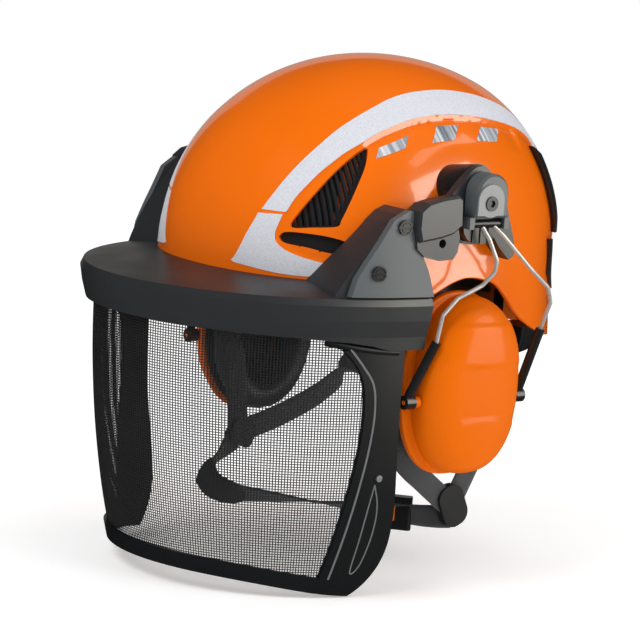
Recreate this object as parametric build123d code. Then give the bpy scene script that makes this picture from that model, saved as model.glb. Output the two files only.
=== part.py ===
from build123d import *
import os
from math import acos, copysign, cos, pi, radians, sin, tan

# Forestry helmet with ear muffs, a mesh face visor and a chin strap. Millimetres.
# +Z is up, the face looks along -Y, the wearer's left is +X, z = 0 is at the brow.

# Driving dimensions
SHELL_W, SHELL_F, SHELL_R = 107.0, 117.0, 132.5  # half width, length ahead, length behind
SHELL_H = 129.2  # crown above the brow
SIDE_Z = 15.0  # the walls are upright below this
WALL = 3.0
LEAN = 0.095  # how far the crown drifts back per mm of height
GUARD_A, GUARD_B, GUARD_Y = 122.0, 144.0, -32.0  # plan ellipse of the brow guard
GUARD_LOW = -24.0
GAP = 1.0  # between the shell and what swings past it
PIVOT_Y, PIVOT_Z = 3.0, 62.8  # axis of the visor, along X
HUB_X, HUB_Z = 124.5, 43.2  # axis of the muff arms, along Y
HUB_FRONT, HUB_REAR = -8.7, 13.2
TILT_X, TILT_Z = 112.0, -64.0  # axis of each cup in its arms, along Y
WIRE_R = 1.25
SLEEVE_R = 2.8
CUP_Y, CUP_Z = 5.0, -56.0  # centre of the cushion and flange
CUP_A, CUP_B = 38.0, 55.0
DOME_Y = 8.5  # the cup's dome sits a little further back
BAND_A, BAND_B = 75.4, 98.0  # inside of the headband
WEB = 15.0  # width of the chin webbing
WEB_T = 1.6
TOUCH = 0.05  # seam between the shell and what is fixed to it


def ring_face(a, b, y0, z, power=2.0, count=28, front=None):
    """A closed smooth outline at height z, as a face."""
    points = []
    for i in range(count):
        t = 2 * pi * i / count
        c, s = cos(t), sin(t)
        length = b if s > 0 or front is None else front
        x = a * copysign(abs(c) ** (2 / power), c)
        y = length * copysign(abs(s) ** (2 / power), s)
        points.append((x, y + y0, z))
    return Face(Wire([Spline(*points, periodic=True).edge()]))


def shell_face(z, out):
    """The shell's outline at height z, moved out by a distance."""
    top = SHELL_H + out
    if z > SIDE_Z:
        k = (1 - ((z - SIDE_Z) / (top - SIDE_Z)) ** 2.2) ** 0.5
    else:
        k = 1 + 0.03 * (SIDE_Z - z) / 70
    shift = LEAN * max(z - SIDE_Z, 0)
    return ring_face(
        (SHELL_W + out) * k, (SHELL_R + out) * k, shift, z, 2.15, front=(SHELL_F + out) * k
    )


def dome(out, low=-75.0):
    """The solid inside the shell's outline, moved out by a distance."""
    top = SHELL_H + out
    steps = [0.17, 0.33, 0.48, 0.61, 0.72, 0.81, 0.88, 0.935, 0.975, 0.994]
    levels = [low, -35.0, -8.0, SIDE_Z] + [SIDE_Z + s * (top - SIDE_Z) for s in steps]
    faces = [shell_face(z, out) for z in levels]
    tip = Vertex(0, LEAN * (top - SIDE_Z), top)
    return loft(faces + [tip])


def side_prism(points, x0, x1, smooth=False):
    """A prism along X between x0 and x1 over a side view given as (y, z) points."""
    outline = Spline(*points, periodic=True) if smooth else Polyline(*points, close=True)
    face = Plane.YZ.offset(x0) * make_face(outline)
    return extrude(face, amount=x1 - x0)


def below(curve, depth, x0=-180.0, x1=180.0):
    """A prism along X of all that lies under a smooth (y, z) curve."""
    top = Spline(*curve)
    first, last = curve[0], curve[-1]
    rest = Polyline(last, (last[0], depth), (first[0], depth), first)
    return extrude(Plane.YZ.offset(x0) * make_face([top.edge(), *rest.edges()]), amount=x1 - x0)


def oval(a, b, y0, z0, x0, x1):
    """An elliptic bar along X."""
    return extrude(Plane.YZ.offset(x0) * Pos(y0, z0) * Ellipse(a, b), amount=x1 - x0)


def rod_x(r, y0, z0, x0, x1):
    return extrude(Plane.YZ.offset(x0) * Pos(y0, z0) * Circle(r), amount=x1 - x0)


def rod_y(r, x0, z0, y0, y1):
    bar = Plane(origin=(x0, y0, z0), x_dir=(1, 0, 0), z_dir=(0, 1, 0))
    return extrude(bar * Circle(r), amount=y1 - y0)


def block(x0, x1, y0, y1, z0, z1):
    size = (x1 - x0, y1 - y0, z1 - z0)
    return Pos((x0 + x1) / 2, (y0 + y1) / 2, (z0 + z1) / 2) * Box(*size)


def bent_wire(points, r, bend):
    """A round wire through points, with its corners bent to a radius."""
    spots = [Vector(*p) for p in points]
    edges, start = [], spots[0]
    for a, b, c in zip(spots, spots[1:], spots[2:]):
        u, v = (a - b).normalized(), (c - b).normalized()
        half = acos(max(-1.0, min(1.0, u.dot(v)))) / 2
        cut = min(bend / tan(half), 0.45 * min((a - b).length, (c - b).length))
        inward = (u + v).normalized()
        middle = b + inward * (cut / cos(half) - cut * tan(half))
        p, q = b + u * cut, b + v * cut
        edges += [Edge.make_line(start, p), Edge.make_three_point_arc(p, middle, q)]
        start = q
    edges.append(Edge.make_line(start, spots[-1]))
    path = Wire(edges)
    seat = Plane(origin=spots[0], z_dir=spots[1] - spots[0])
    return sweep(seat * Circle(r), path=path)


def webbing(points, across, width=WEB, thick=WEB_T):
    """Flat webbing along points; across is the direction of its width at each point."""
    pieces = []
    for i in range(len(points) - 1):
        p, q = Vector(*points[i]), Vector(*points[i + 1])
        run = q - p
        side = Vector(*across[i])
        side = (side - run * (side.dot(run) / run.dot(run))).normalized()
        seat = Plane(origin=p, x_dir=side, z_dir=run)
        pieces.append(extrude(seat * Rectangle(width, thick), amount=run.length))
        if i:
            fold = Plane(origin=p - side * (width / 2), z_dir=side)
            pieces.append(extrude(fold * Circle(thick / 2), amount=width))
    return pieces[0].fuse(*pieces[1:])


def other_side(shape):
    return mirror(shape, about=Plane.YZ)


def save(name, shape):
    solids = shape.solids()
    export_step(solids[0] if len(solids) == 1 else Compound(children=list(solids)), f"parts/{name}.step")


def save_pair(name, shape):
    save(name + "_left", shape)
    save(name + "_right", other_side(shape))


# Shell

RIM = [(-150, -9), (-100, -9), (-60, -8), (-35, -5), (-18.8, -1.5), (-12.6, 1.4), (-6.9, 4.2), (0.5, 7)]
RIM += [(8.3, 8.2), (19.9, 6.9), (31.6, 3.3), (41.2, -4.6), (49.1, -12.5), (57.7, -19), (73.4, -26.6)]
RIM += [(86.5, -31.5), (97, -34.5), (118, -38), (150, -40)]
VENT = [(-50.3, 82), (-51.7, 78), (-55, 71.3), (-59.5, 63.8), (-63.4, 57), (-68, 48.4), (-72, 40.6)]
VENT += [(-74.3, 36.7), (-85, 35), (-94, 34.2), (-90.2, 42.6), (-82.7, 53.4), (-73.4, 64.4)]
VENT += [(-63.3, 73.8), (-54.8, 80)]
SLOT = [(-98.3, 29), (-95, 31.2), (-85, 31.2), (-76.5, 30), (-70.2, 27.5), (-73.5, 22.4), (-78, 21)]
SLOT += [(-88.3, 23.3), (-96, 24.4), (-98.3, 26.2)]


def make_shell(outer, inner):
    body = outer - inner - below(RIM, -90)
    for region in (VENT, SLOT):
        body -= side_prism(region, 40, 130)
        body -= side_prism(region, -130, -40)
    return body


def skin(skirt, thick, regions, x0=12.0):
    """Thin plates that lie on the shell's outside, over side view regions."""
    pieces = [(dome(thick) & side_prism(region, x0, 140)) - skirt for region in regions]
    return pieces[0].fuse(*pieces[1:]) if len(pieces) > 1 else pieces[0]


ARCH = [(-102.3, 42), (-98.5, 49), (-92, 59.3), (-84, 69.4), (-74.3, 79), (-62.6, 88.5), (-50.4, 96)]
ARCH += [(-37.5, 102.5), (-23.4, 108), (-9, 111.5), (7, 113), (20.3, 113.2), (34, 112), (48, 109.5)]
ARCH += [(64, 105), (78, 98.5), (88, 90.5), (94, 82), (88, 77), (83.7, 84), (76, 89.2), (63.2, 93.8)]
ARCH += [(50, 96.7), (35, 99), (21.3, 100.3), (8, 100.7), (-4.8, 100), (-17.3, 98), (-29.6, 94.3)]
ARCH += [(-41.2, 89.8), (-52.4, 83.8), (-62.7, 77.7), (-70.6, 71.6), (-78, 65), (-85.3, 56.8)]
ARCH += [(-90.5, 49.7), (-94.6, 42)]
FOOT = [(-103.4, 40.2), (-96, 40.2), (-98.5, 33.6), (-99.6, 29.7), (-99.6, 25), (-96.7, 20.8)]
FOOT += [(-91, 17.8), (-84, 15.8), (-80.2, 15), (-84.2, 8.6), (-88, 6.9), (-99, 7), (-108.8, 9)]
FOOT += [(-112.2, 10.4), (-111.8, 13), (-108.2, 27)]
MARKS = [
    [(-44, 82.5), (-23.3, 90.2), (-29, 82.6), (-48, 76)],
    [(-1, 95.8), (16.2, 96.5), (7.4, 87.7), (-10, 86)],
    [(34.6, 95.2), (52.2, 93.6), (43, 86.2), (24.7, 87)],
]
CLIP = [(80, 82), (90, 77), (98, 58), (105, 38), (104, 29), (99, 29), (94, 44), (88, 62)]
STRIP = [(89, 26), (99, 25), (108, 6), (110, -8), (100, -3), (93, 4), (94.5, 14)]


def make_grille(lining):
    """A slotted plate behind the vents, on the shell's inside."""
    big = [(-46, 87), (-52, 74), (-60, 57), (-66, 44), (-68, 33), (-66, 24), (-74, 17), (-98, 20)]
    big += [(-103, 30), (-98, 42), (-90, 56), (-78, 70), (-62, 84)]
    plate = lining - dome(-WALL - 1.5)
    plate = plate & side_prism(big, 30, 120)
    window = side_prism(VENT, 30, 120)
    for i in range(15):
        y = -93 + 2.8 * i
        plate -= window & block(30, 120, y, y + 1.5, 30, 90)
    return plate


# Brow guard, visor and its arms

WING_REAR = [(-49.5, 51), (-47.6, 43), (-46.4, 34), (-40.9, 25), (-35.7, 16), (-32.4, 7.5), (-29.5, -1.5)]
GUARD_SIDE = [(-49.5, 80), *WING_REAR, (-29.5, -60), (160, -60), (160, 80)]
WING = [(-93, -3), (-90, 3), (-87.5, 7), (-83, 14), (-77, 22), (-68, 33), (-60, 43), (-55, 48)]
WING += [*WING_REAR, (-29.5, -6)]
PLATE = [(-84.6, 0.5), (-82, 11), (-77, 20), (-69, 33), (-62, 45.5), (-52.6, 51.2), (-50, 51)]
PLATE += [(-47.9, 43), (-46.7, 34), (-41.2, 25), (-36, 16), (-32.7, 7.5), (-30.4, 0.5)]


def guard_face(z, out, k=1.0):
    return ring_face(k * GUARD_A + out, k * GUARD_B + out, GUARD_Y, z)


def guard_block(out, drop):
    """The guard's outside: an upright band and a shelf that rises to the shell."""
    band = [guard_face(GUARD_LOW - 20, out - 7.5), guard_face(GUARD_LOW, out - 4.5)]
    band += [guard_face(-14, out - 1.6), guard_face(-5 - drop, out)]
    band = loft(band, ruled=True)
    lip = loft([guard_face(-5 - drop, out), guard_face(-1 - drop, out - 1.8)], ruled=True)
    shelf = loft([guard_face(-1 - drop, out - 1.8), shell_face(5 - drop, 0)], ruled=True)
    return band + lip + shelf


CHEEK = [(-96, -9), (-96, -30), (-54, -32), (-29.5, -32), (-29.5, -3)]
FLARE = [(-90, -9), (-90, 0.45), (-30, 0.45), (-29.5, -9)]
GUARD_FLOOR = [(-200, -60), (-200, -22), (-110, -25), (-80, -27), (-66, -29), (-54, -31.9), (20, -31.9)]
GUARD_FLOOR += [(20, -60)]


def make_guard(clear):
    """A bent band with a shelf, and a wing at each side that stands up beside the shell."""
    low_cut, rear = side_prism(GUARD_FLOOR, -150, 150), side_prism(GUARD_SIDE, -150, 150)
    body = guard_block(0, 0) - guard_block(-3, 3) - clear - low_cut - rear
    inside = extrude(guard_face(-20, -3.8), amount=90)
    wing = ((side_prism(WING, 40, 140) + side_prism(FLARE, 100, 140)) & inside) - clear
    cheek = (side_prism(CHEEK, 112.5, 140) & guard_block(-1.5, 1.5)) - low_cut
    half = (body & block(0, 200, -250, 50, -60, 90)) + wing + cheek
    return half + other_side(half)


def make_end_plate():
    """A plate wrapped round the outside of the wing."""
    band = extrude(guard_face(-12, 0.6), amount=80) - extrude(guard_face(-12, -3.8), amount=80)
    return band & side_prism(PLATE, 60, 140)


def pivot_ring(r, x0, x1):
    return rod_x(r, PIVOT_Y, PIVOT_Z, x0, x1)


SCREWS = [(-55, 41.5), (-69.5, 14.5)]


def screw_at(y, z):
    """A slotted head that stands on the end plate."""
    x = GUARD_A * (1 - ((y - GUARD_Y) / GUARD_B) ** 2) ** 0.5
    slope = (y - GUARD_Y) * GUARD_A**2 / (GUARD_B**2 * x)
    seat = Plane(origin=(x + 0.3, y, z), x_dir=(-slope, 1, 0), z_dir=(1, slope, 0))
    head = extrude(Circle(4.4), amount=2.2) - Pos(0, 0, 2.2) * Box(9.5, 1.3, 1.8)
    return seat * (head - extrude(Circle(3.3) - Circle(2.9), amount=5, dir=(0, 0, 1)).moved(Pos(0, 0, 1.7)))


ARM_COVER = [(-49.2, 51.5), (-43.2, 56.2), (-32.2, 58.8), (-20, 60.2), (-17.2, 58), (-16.2, 42.5)]
ARM_COVER += [(-22.6, 37.8), (-31.4, 35.4), (-47, 33.2), (-49.4, 41)]
ARM_LOBE = [(-48, 36), (-46.8, 29), (-41, 24.3), (-30, 21.8), (-19.6, 22.4), (-16.6, 26.5), (-15.6, 35)]
ARM_LOBE += [(-17.5, 42), (-30, 44)]
ARM_ROOT = [(-35, 40), (-35, 24.5), (-30, 21.8), (-20, 22.4), (-18, 26), (-18, 38), (-22, 42)]
ARM_RING = 13.8
ARM_CLEAR = 19.9  # what stands proud of the arm stays this far from the axis


def make_arm():
    """Carries the guard: a ring on the pivot, a web to the wing and a raised cover."""
    reach = [(-60, 48), (-49, 50), (-43, 54.8), (-32, 57.4), (-20, 58.8), (-13.5, 66), (-4, 75.5)]
    reach += [(PIVOT_Y, 76.6), (PIVOT_Y, 49), (-14, 40), (-60, 26)]
    neck = [(-60, 60), (-3, 74), (-3, 50.5), (-20, 24), (-60, 20)]
    web = side_prism(reach, 113.0, 118.3)
    web = web & (pivot_ring(ARM_RING, 100, 130) + side_prism(neck, 100, 130))
    web -= side_prism([(-90, 70), (-49.4, 70), *shifted(WING_REAR, 0.1), (-90, -1.5)], 90, 140)
    web -= pivot_ring(5.06, 100, 125)
    cover = side_prism(ARM_COVER, 118.3, 127.5)
    cover = chamfer(cover.faces().sort_by(Axis.X)[-1].edges(), 1.4)
    lobe = side_prism(ARM_LOBE, 118.3, 124.0) + side_prism(ARM_ROOT, 113.0, 118.3)
    upper = (cover + lobe) - pivot_ring(ARM_CLEAR, 118.3, 130)
    return web + upper - rod_x(2.6, -28.4, 32.0, 100, 130)


PANEL_FRONT = [(-94, -10), (-88, -26), (-77, -36), (-68, -50), (-65.5, -66), (-65.5, -85), (-68, -110)]
PANEL_FRONT += [(-73, -150), (-78, -180)]
PANEL_BACK = [(-42, -8), (-42, -44), (-41, -85), (-38.5, -111), (-36.5, -130), (-36, -144)]
PANEL_BACK += [(-37.5, -157), (-42, -168), (-50, -178), (-60, -185)]
BOTTOM = [(-190, -171), (-150, -172), (-120, -174.5), (-90, -179), (-66, -182.5), (-48, -183.5)]
BOTTOM += [(-20, -183)]


def visor_solid(out):
    levels = [(-8, 112.6, 134.6), (-24, 112.8, 134.6), (-60, 112.6, 132.6), (-100, 110.8, 128)]
    levels += [(-140, 106, 121), (-175, 99, 112.5), (-195, 95, 107)]
    return loft([ring_face(a + out, b + out, GUARD_Y, z) for z, a, b in levels])


def visor_layer(outside, inside):
    return visor_solid(outside) - visor_solid(-inside)


def ahead_of(curve, y_far=-200.0):
    """Everything ahead of a smooth side view curve that runs from high to low."""
    line = Spline(*curve)
    first, last = curve[0], curve[-1]
    rest = Polyline(last, (last[0], -200), (y_far, -200), (y_far, first[1]), first)
    face = make_face([line.edge(), *rest.edges()])
    return extrude(Plane.YZ.offset(-150) * face, amount=300)


FAR_SHIFT = 31.0  # the net ends this much sooner on the right


def split_sides(curve):
    """Everything ahead of a side view curve, with the right side's curve further forward."""
    near = ahead_of(curve) & block(0, 200, -300, 200, -300, 100)
    far = ahead_of(shifted(curve, -FAR_SHIFT)) & block(-200, 0, -300, 200, -300, 100)
    return near + far


def shifted(curve, dy, dz=0.0):
    return [(y + dy, z + dz) for y, z in curve]


def make_rivet(y, x1):
    """A stud through the panel, halfway down."""
    return rod_x(2.0, y, -109.0, 80, x1) - visor_solid(1.6)


# Ear muffs


def cup_dome(inset, x0):
    """The cup's dome from x0 outwards."""
    rings = [(x0, 35.4, 53.8), (112, 35.0, 53.5), (119, 33.8, 52.0), (125, 31.0, 48.8)]
    rings += [(129.5, 26.5, 43.5), (132.5, 19.5, 35.0)]
    faces = []
    for x, a, b in rings:
        seat = Plane.YZ.offset(x if x == x0 else x - inset)
        faces.append(seat * Pos(DOME_Y, CUP_Z) * Ellipse(a - inset, b - inset))
    return loft(faces)


def make_cup():
    flange = oval(CUP_A, CUP_B, CUP_Y, CUP_Z, 100, 104)
    cup = flange + cup_dome(0, 103)
    cup -= cup_dome(2.6, 99)
    cup += rod_y(3.6, TILT_X, TILT_Z, -31.0, -24.0) - cup_dome(1.3, 99)
    cup += rod_y(3.6, TILT_X, TILT_Z, 41.0, 46.0) - cup_dome(1.3, 99)
    cup += rod_y(1.5, TILT_X, TILT_Z, -38.5, -30.0)
    cup += rod_y(1.5, TILT_X, TILT_Z, 45.0, 53.5)
    return cup


def make_cushion():
    ring = oval(37.5, 54.5, CUP_Y, CUP_Z, 78, 98) - oval(20, 36, CUP_Y, CUP_Z, 77, 99)
    rims = ring.edges().filter_by(GeomType.ELLIPSE)
    return fillet([e for e in rims if e.center().X < 79], 7.0)


FRONT_WIRE = [(124.5, -1.0, 43.2), (128.0, 4.0, 34.0), (130.0, 9.2, 22.0), (129.0, 9.2, 15.0)]
FRONT_WIRE += [(126.5, 2.5, 6.8), (123.5, -13.0, -1.0), (122.5, -22.5, -11.0), (121.2, -24.5, -27.0)]
FRONT_WIRE += [(113.0, -34.6, -58.0)]
REAR_WIRE = [(124.5, 7.0, 43.2), (129.0, 13.5, 36.5), (130.0, 37.0, 15.6), (129.0, 52.0, 4.5)]
REAR_WIRE += [(127.5, 56.5, -5.0), (121.0, 56.0, -22.0), (113.0, 50.0, -58.0)]


def make_wires():
    hub = rod_y(2.4, HUB_X, HUB_Z, HUB_FRONT, HUB_REAR)
    return hub + bent_wire(FRONT_WIRE, WIRE_R, 4.0) + bent_wire(REAR_WIRE, WIRE_R, 4.0)


def make_sleeve(top, low, y0, y1):
    """A sleeve on the end of a wire, with an eye for the cup's pin."""
    a, b = Vector(*top), Vector(*low)
    run = b - a
    seat = Plane(origin=a, z_dir=run)
    body = extrude(seat * Circle(SLEEVE_R), amount=run.length)
    eye = rod_y(4.2, TILT_X, TILT_Z, y0, y1)
    return body + eye - rod_y(1.56, TILT_X, TILT_Z, y0 - 2, y1 + 2)


def make_sleeves(wires):
    front = make_sleeve((121.2, -24.5, -27.0), (112.4, -35.2, -60.5), -38.2, -31.4)
    rear = make_sleeve((121.0, 56.0, -22.0), (112.4, 49.8, -60.5), 46.4, 53.0)
    return (front + rear) - wires


BOSS_Y, BOSS_Z, BOSS_R = 2.2, 61.2, 12.0
DISC_Y, DISC_Z, DISC_R = -0.1, 57.5, 9.7
SCREW_Z = 56.0


def make_base(clear):
    """The socket on the shell that holds the visor's pin and the muff hub."""
    foot = loft([Plane.YZ.offset(90) * Pos(0.3, 56) * Circle(17.8),
                 Plane.YZ.offset(112.6) * Pos(PIVOT_Y, PIVOT_Z) * Circle(14.2)])
    low = [(-14, 60), (-12.5, 46), (-11, 34), (-6, 30), (2, 29), (12, 30), (20, 28), (28.5, 20)]
    low += [(32.5, 22.5), (32, 30), (27, 44), (22, 58), (16, 68)]
    leg = [(18.5, 62), (22, 58), (27, 44), (32, 30), (32.5, 22.5), (28.5, 20), (20, 28), (14, 36), (13, 44)]
    leg += [(16.5, 50)]
    shoe = oval(13.2, 9.7, BOSS_Y + 0.6, 40.2, 112.6, 120.6) & block(110, 130, -20, 20, 20, 40.2)
    for y in (-5.0, 1.0, 7.0):
        shoe -= block(119.8, 122, y, y + 1.8, 20, 41)
    base = foot + side_prism(low, 90, 112.6) + side_prism(leg, 112.6, 118.0) + shoe
    base += pivot_ring(5.0, 112.6, 119.0)
    return base - clear


def make_boss():
    """A round-topped block beside the pivot, with two ears that carry the muff hub."""
    y0, y1, low = BOSS_Y - BOSS_R, BOSS_Y + BOSS_R, 47.4
    boss = rod_x(BOSS_R, BOSS_Y, BOSS_Z, 119.0, 130.5) + block(119.0, 130.5, y0, y1, low, BOSS_Z)
    boss = chamfer(boss.faces().sort_by(Axis.X)[-1].edges(), 1.4)
    cheeks = block(119.0, 122.2, y0 - 3, y1 + 3, 40.5, low)
    cheeks -= rod_y(2.75, HUB_X, HUB_Z, -30, 30)
    for a, b in ((y0 - 3, HUB_FRONT - 0.4), (HUB_REAR + 0.4, y1 + 3)):
        cheeks += block(119.0, 128.6, a, b, 40.5, low)
    return boss + cheeks


def make_boss_plate():
    plate = rod_x(DISC_R, DISC_Y, DISC_Z, 130.5, 131.7)
    plate += block(130.5, 131.7, DISC_Y - DISC_R, DISC_Y + DISC_R, 48.9, DISC_Z)
    return plate - rod_x(4.4, DISC_Y, SCREW_Z, 130, 133)


def make_boss_screw():
    head = rod_x(4.35, DISC_Y, SCREW_Z, 130.5, 132.6)
    socket = Plane.YZ.offset(131.2) * Pos(DISC_Y, SCREW_Z) * RegularPolygon(2.2, 6)
    return head - extrude(socket, amount=3)


# Inside of the helmet


def band_ring(a, b, thick, z0, z1):
    ring = Pos(0, 2) * (Ellipse(a + thick, b + thick) - Ellipse(a, b))
    return Pos(0, 0, z0) * extrude(ring, amount=z1 - z0)


def make_headband():
    side = [(-130, 17), (-70, 17), (-20, 13), (30, -2), (70, -12), (130, -12), (130, -44), (70, -44)]
    side += [(40, -34), (10, -18), (-20, -10), (-70, -14), (-130, -14)]
    return band_ring(BAND_A, BAND_B, 2.0, -60, 40) & side_prism(side, -120, 120)


def make_brow_pad():
    pad = band_ring(BAND_A - 6.2, BAND_B - 6.2, 6.1, -13, 15) & block(-100, 100, -120, -38, -20, 20)
    return pad


def make_cradle():
    """Two crossed straps over the head, with a round pad where they cross."""
    straps = None
    for turn in (38, -38):
        arch = Plane.YZ * (Ellipse(94.2, 101.4) - Ellipse(92.8, 100))
        arch = extrude(arch, amount=10, both=True)
        arch = Rot(0, 0, turn) * (arch & block(-40, 40, -120, 120, -6, 110))
        straps = arch if straps is None else straps + arch
    return Pos(0, 2, 6) * (straps + Pos(0, 0, 98.6) * Cylinder(22, 2.4))


def make_lugs(inner):
    """Blocks that hang the cradle in the shell."""
    lugs = []
    for turn in (38, -38, 142, -142):
        lug = Pos(0, 2, 0) * (Rot(0, 0, turn) * block(-9, 9, 94.25, 130, 4, 17))
        lugs.append(lug & inner)
    return lugs[0].fuse(*lugs[1:])


def make_ratchet():
    limit = extrude(Ellipse(90, 103), amount=80, both=True)
    house = block(-34, 34, 101.4, 109, -42, -15) & (Pos(0, 6, 0) * limit)
    house = house - band_ring(BAND_A, BAND_B, 2.2, -60, 40)
    return house + rod_y(5.0, 0, -28.5, 107, 118.5)


def make_knob():
    knob = rod_y(13.0, 0, -28.5, 109.5, 119.2)
    for i in range(16):
        t = 2 * pi * i / 16
        knob -= rod_y(1.5, 13.6 * cos(t), -28.5 + 13.6 * sin(t), 105, 125)
    return knob - rod_y(5.07, 0, -28.5, 105, 125)


# Chin strap

FRONT_ANCHOR, REAR_ANCHOR = (90.0, -46.0, 1.0), (76.0, 74.0, -33.0)
NEAR, FAR = (64.0, 46.0, -143.0), (-64.0, -25.0, -119.0)


def make_near_strap():
    x, y, z = NEAR
    front = webbing(
        [(x, y - 5, z + 3), (65, 4, -112), (70, -21, -84), (76, -36, -44), (90.0, -46.0, -5.0)],
        [(0, 0.6, 1), (0, 0.8, 1), (0, 1, 0.6), (0, 1, 0.3), (0, 1, 0.3)],
    )
    rear = webbing(
        [(x, y + 3, z + 5), (66, 68, -96), (76.0, 74.0, -38.0)],
        [(0, 1, -0.4), (0, 1, -0.2), (0, 1, 0)],
    )
    return front + rear


def make_far_strap():
    x, y, z = FAR
    front = webbing(
        [(x, y - 3, z + 3), (-67, -31, -70), (-90.0, -46.0, -5.0)],
        [(0, 1, 0.2), (0, 1, 0.2), (0, 1, 0.3)],
    )
    rear = webbing(
        [(x, y + 6, z + 3), (-66, 66, -84), (-76.0, 74.0, -38.0)],
        [(0, -0.4, 1), (0, 1, 1), (0, 1, 0.2)],
    )
    return front + rear


def make_divider(spot, tilt, tall):
    """A flat plastic loop that joins the strap's two legs."""
    x, y, z = spot
    body = Box(6.0, 19.0, tall)
    body = fillet(body.edges().filter_by(Axis.X), 0.3 * tall)
    body -= Box(2.6, 15.6, 40.0)
    return Pos(x, y, z) * (Rot(tilt, 0, 0) * body)


CHIN = [(-64, -31, -124), (-63, -45, -135), (-57, -56, -143), (-40, -50, -150), (-12, -26, -150)]
CHIN += [(20, 6, -151), (48, 32, -152), (64, 47, -151)]
BUCKLE = (34, 19.3, -151.5)
BUCKLE_TURN = 43


def make_anchors(inner):
    """Tabs that hold the strap's ends in the shell."""
    lugs = []
    for x, y, z in (FRONT_ANCHOR, REAR_ANCHOR):
        tab = block(x - 4, x + 30, y - 11, y + 11, z - 10, z + 7)
        tab = (tab & inner) - block(x - 1.4, x + 1.4, y - 8.2, y + 8.2, z - 20, z - 2)
        lugs += [tab, other_side(tab)]
    return lugs[0].fuse(*lugs[1:])


def main():
    outer, inner, clear = dome(0), dome(-WALL), dome(GAP)
    skirt, lining = dome(TOUCH), dome(-WALL - TOUCH)
    shell = make_shell(outer, inner)
    save("shell", shell)
    save_pair("reflective_stripe", skin(skirt, 0.4, [ARCH, FOOT]))
    save_pair("silver_marks", skin(skirt, 0.35, MARKS))
    save_pair("rear_clips", skin(skirt, 3.2, [CLIP], 40) + skin(skirt, 1.8, [STRIP], 30))
    save_pair("vent_grille", make_grille(lining))

    arm = make_arm()
    plate = make_end_plate() - arm
    save("brow_guard", make_guard(clear))
    save_pair("end_plate", plate)
    save_pair("visor_arm", arm)
    heads = [screw_at(*s) for s in SCREWS]
    heads = [h - plate for h in heads]
    save("plate_screws", Compound(children=heads + [other_side(h) for h in heads]))

    floor = below(BOTTOM, -230)
    hem_line = below(shifted(BOTTOM, 0, 10), -230)
    ceiling = block(-160, 160, -200, 20, -14, 30)
    front, back = split_sides(PANEL_FRONT), split_sides(PANEL_BACK)
    mesh = (visor_layer(0.5, 0.5) & front) - hem_line - ceiling
    hem = ((visor_layer(2.2, 1.4) & hem_line) - floor) & front
    panels = (visor_layer(1.6, 1.2) & back) - front - floor
    panels -= block(-160, 160, -200, 20, -32.2, 30)
    save("visor_mesh", mesh)
    save("visor_hem", hem)
    save("visor_panel_left", panels & block(0, 200, -250, 100, -230, 50))
    save("visor_panel_right", panels & block(-200, 0, -250, 100, -230, 50))
    rivet, far_rivet = make_rivet(-51.0, 111.4), make_rivet(-51.0 - FAR_SHIFT, 103.6)
    save("visor_rivets", Compound(children=[rivet, other_side(far_rivet)]))

    base = make_base(skirt)
    save_pair("mount_base", base)
    save_pair("wire_boss", make_boss() - base)
    save_pair("boss_plate", make_boss_plate())
    screw = make_boss_screw()
    save("boss_screws", Compound(children=[screw, other_side(screw)]))
    wires = make_wires()
    save_pair("muff_wire", wires)
    save_pair("wire_sleeve", make_sleeves(wires))

    save_pair("ear_cup", make_cup())
    ring = oval(CUP_A - 0.5, CUP_B - 0.5, CUP_Y, CUP_Z, 98, 100) - oval(20, 36, CUP_Y, CUP_Z, 97, 101)
    save_pair("cup_plate", ring)
    save_pair("ear_cushion", make_cushion())
    save_pair("ear_foam", oval(26, 42, DOME_Y, CUP_Z, 116, 123))

    headband = make_headband()
    save("headband", headband)
    save("brow_pad", make_brow_pad())
    save("crown_cradle", make_cradle())
    save("suspension_lugs", make_lugs(lining))
    save("ratchet_housing", make_ratchet())
    save("ratchet_knob", make_knob())

    divider_near, divider_far = make_divider(NEAR, 24, 27.0), make_divider(FAR, -24, 16.0)
    chin = webbing(CHIN, [(0, 0.5, 1)] * 2 + [(0.5, 0.3, 1)] + [(0.3, -0.5, 1)] * 2 + [(0, -0.3, 1)] * 2)
    pad = webbing(
        [(-60.5, -51, -139.4), (-57, -56.3, -143.3), (-40, -50.3, -150.3), (-31, -42.6, -150.3)],
        [(0.5, 0.3, 1), (0.5, 0.3, 1), (0.3, -0.5, 1)], 18.0, 5.0,
    ) - chin
    seat = Pos(*BUCKLE) * Rot(0, 0, BUCKLE_TURN)
    buckle = fillet((seat * Box(32, 7, 21)).edges().filter_by(Axis.Z), 2.4)
    button = seat * (Pos(0, -3.5, 0) * Box(12, 4, 9))
    pocket = seat * (Pos(0, -2.0, 0) * Box(12.7, 7.0, 9.7))
    buckle = buckle - pocket
    chin_web = chin - buckle - pocket - pad
    save("strap_left", make_near_strap() - divider_near)
    save("strap_right", make_far_strap() - divider_far)
    save("strap_divider_left", divider_near - make_near_strap() - chin)
    save("strap_divider_right", divider_far - make_far_strap() - chin)
    save("chin_web", chin_web)
    save("chin_pad", pad)
    save("buckle", buckle)
    save("buckle_button", button)
    save("strap_anchors", make_anchors(lining) - headband - make_near_strap() - make_far_strap())


main()
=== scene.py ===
import math

import bpy
import numpy as np
from mathutils import Matrix, Vector


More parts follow.
